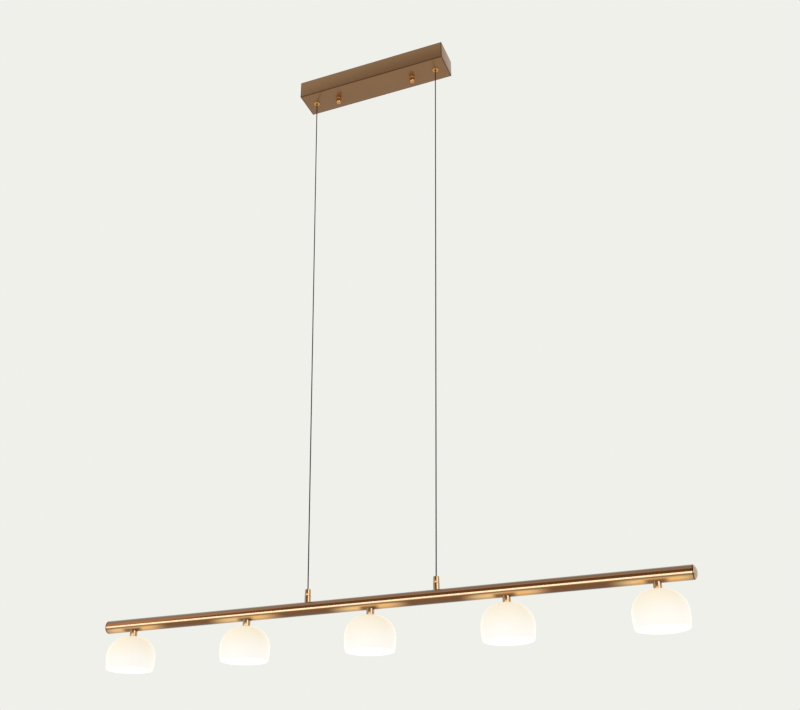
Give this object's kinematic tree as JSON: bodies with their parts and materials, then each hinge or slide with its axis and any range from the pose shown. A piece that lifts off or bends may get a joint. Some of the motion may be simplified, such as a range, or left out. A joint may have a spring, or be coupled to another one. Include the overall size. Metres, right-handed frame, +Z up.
{
  "type": "linear island pendant",
  "caption": "Linear island pendant: a round brass bar hung level on two thin cables from a long box canopy, with opal glass dome shades in a row below it.",
  "frame": {"origin": "centre of the upper face of the mounting bracket, in the plane of the ceiling", "axes": "+Z up, X along the bar, Y from front to back"},
  "size_m": [1.206, 0.0974, 1.409],
  "materials": {
    "antique_brass": "brushed, antique, lacquered",
    "polished_brass": "polished",
    "bronze_paint": "satin brown bronze",
    "opal_glass": "gloss opal white, lit from inside",
    "zinc_steel": "zinc plated",
    "white_ceramic": "glazed ceramic",
    "lamp_glass": "frosted warm white",
    "grey_cable": "dark grey insulation over a steel and copper core",
    "silicone": "soft translucent",
    "white_plastic": "matt moulded",
    "wire_sleeve": "insulated wire"
  },
  "bodies": {
    "canopy": {"mounting_bracket": "zinc_steel", "canopy_cover": "bronze_paint", "canopy_studs": "zinc_steel", "stud_lock_nuts": "zinc_steel", "cable_ferrule_left": "polished_brass", "cable_ferrule_right": "polished_brass", "ferrule_lock_nuts": "zinc_steel", "lamp_driver": "white_plastic", "driver_screws": "zinc_steel", "supply_terminal": "white_plastic", "earth_screw": "zinc_steel", "cable_tails": "wire_sleeve", "supply_leads": "wire_sleeve"},
    "left_cap_nut": {"canopy_cap_nut_left": "polished_brass"},
    "right_cap_nut": {"canopy_cap_nut_right": "polished_brass"},
    "swivel_balls": {"cable_swivel_balls": "zinc_steel"},
    "left_cable": {"suspension_cable_left": "grey_cable"},
    "right_cable": {"suspension_cable_right": "grey_cable"},
    "left_clamp": {"clamp_ball_left": "white_plastic"},
    "bar": {"bar_tube": "antique_brass", "end_cap_left": "antique_brass", "end_cap_right": "antique_brass", "bar_wiring": "wire_sleeve", "cable_grip_left": "polished_brass", "cable_grip_right": "polished_brass", "clamp_ball_right": "white_plastic", "grip_lock_nuts": "zinc_steel", "stem_lock_nuts": "zinc_steel", "shade_washers": "silicone", "shade_retaining_rings": "polished_brass", "shade_stem_1": "polished_brass", "glass_shade_1": "opal_glass", "lamp_holder_1": "white_ceramic", "capsule_lamp_1": "lamp_glass", "shade_stem_2": "polished_brass", "glass_shade_2": "opal_glass", "lamp_holder_2": "white_ceramic", "capsule_lamp_2": "lamp_glass", "shade_stem_3": "polished_brass", "glass_shade_3": "opal_glass", "lamp_holder_3": "white_ceramic", "capsule_lamp_3": "lamp_glass", "shade_stem_4": "polished_brass", "glass_shade_4": "opal_glass", "lamp_holder_4": "white_ceramic", "capsule_lamp_4": "lamp_glass", "shade_stem_5": "polished_brass", "glass_shade_5": "opal_glass", "lamp_holder_5": "white_ceramic", "capsule_lamp_5": "lamp_glass"},
    "left_collar": {"grip_collar_left": "polished_brass"},
    "right_collar": {"grip_collar_right": "polished_brass"}
  },
  "joints": [
    {"name": "fore_aft_swing", "type": "hinge", "parent": "canopy", "child": "swivel_balls", "pos_m": [0, 0, -0.0443], "axis": [1, 0, 0], "range_deg": [-15, 15]},
    {"name": "sideways_sway", "type": "hinge", "parent": "swivel_balls", "child": "left_cable", "pos_m": [-0.16, 0, -0.0443], "axis": [0, 1, 0], "range_deg": [-8, 8]},
    {"name": "right_cable_sway", "type": "hinge", "parent": "swivel_balls", "child": "right_cable", "pos_m": [0.16, 0, -0.0443], "axis": [0, 1, 0], "range_deg": [-8, 8]},
    {"name": "height_adjustment", "type": "slide", "parent": "left_cable", "child": "left_clamp", "axis": [0, 0, 1], "range_m": [0, 0.8], "deforming": ["suspension_cable_left", "suspension_cable_right"]},
    {"name": "bar_levelling", "type": "hinge", "parent": "left_clamp", "child": "bar", "pos_m": [-0.1335, 0, -1.28592], "axis": [0, 1, 0], "range_deg": [-10, 10]},
    {"name": "left_collar_turn", "type": "hinge", "parent": "bar", "child": "left_collar", "pos_m": [-0.1335, 0, -1.28592], "axis": [0, 0, 1], "range_deg": [0, 360]},
    {"name": "right_collar_turn", "type": "hinge", "parent": "bar", "child": "right_collar", "pos_m": [0.1335, 0, -1.28592], "axis": [0, 0, 1], "range_deg": [0, 360]},
    {"name": "left_cap_nut_turn", "type": "hinge", "parent": "canopy", "child": "left_cap_nut", "pos_m": [-0.099, 0, -0.046], "axis": [0, 0, 1], "continuous": true},
    {"name": "right_cap_nut_turn", "type": "hinge", "parent": "canopy", "child": "right_cap_nut", "pos_m": [0.099, 0, -0.046], "axis": [0, 0, 1], "continuous": true}
  ],
  "couplings": [
    {"joint": "right_cable_sway", "follows": "sideways_sway", "ratio": 1},
    {"joint": "bar_levelling", "follows": "sideways_sway", "ratio": -1.1985}
  ]
}
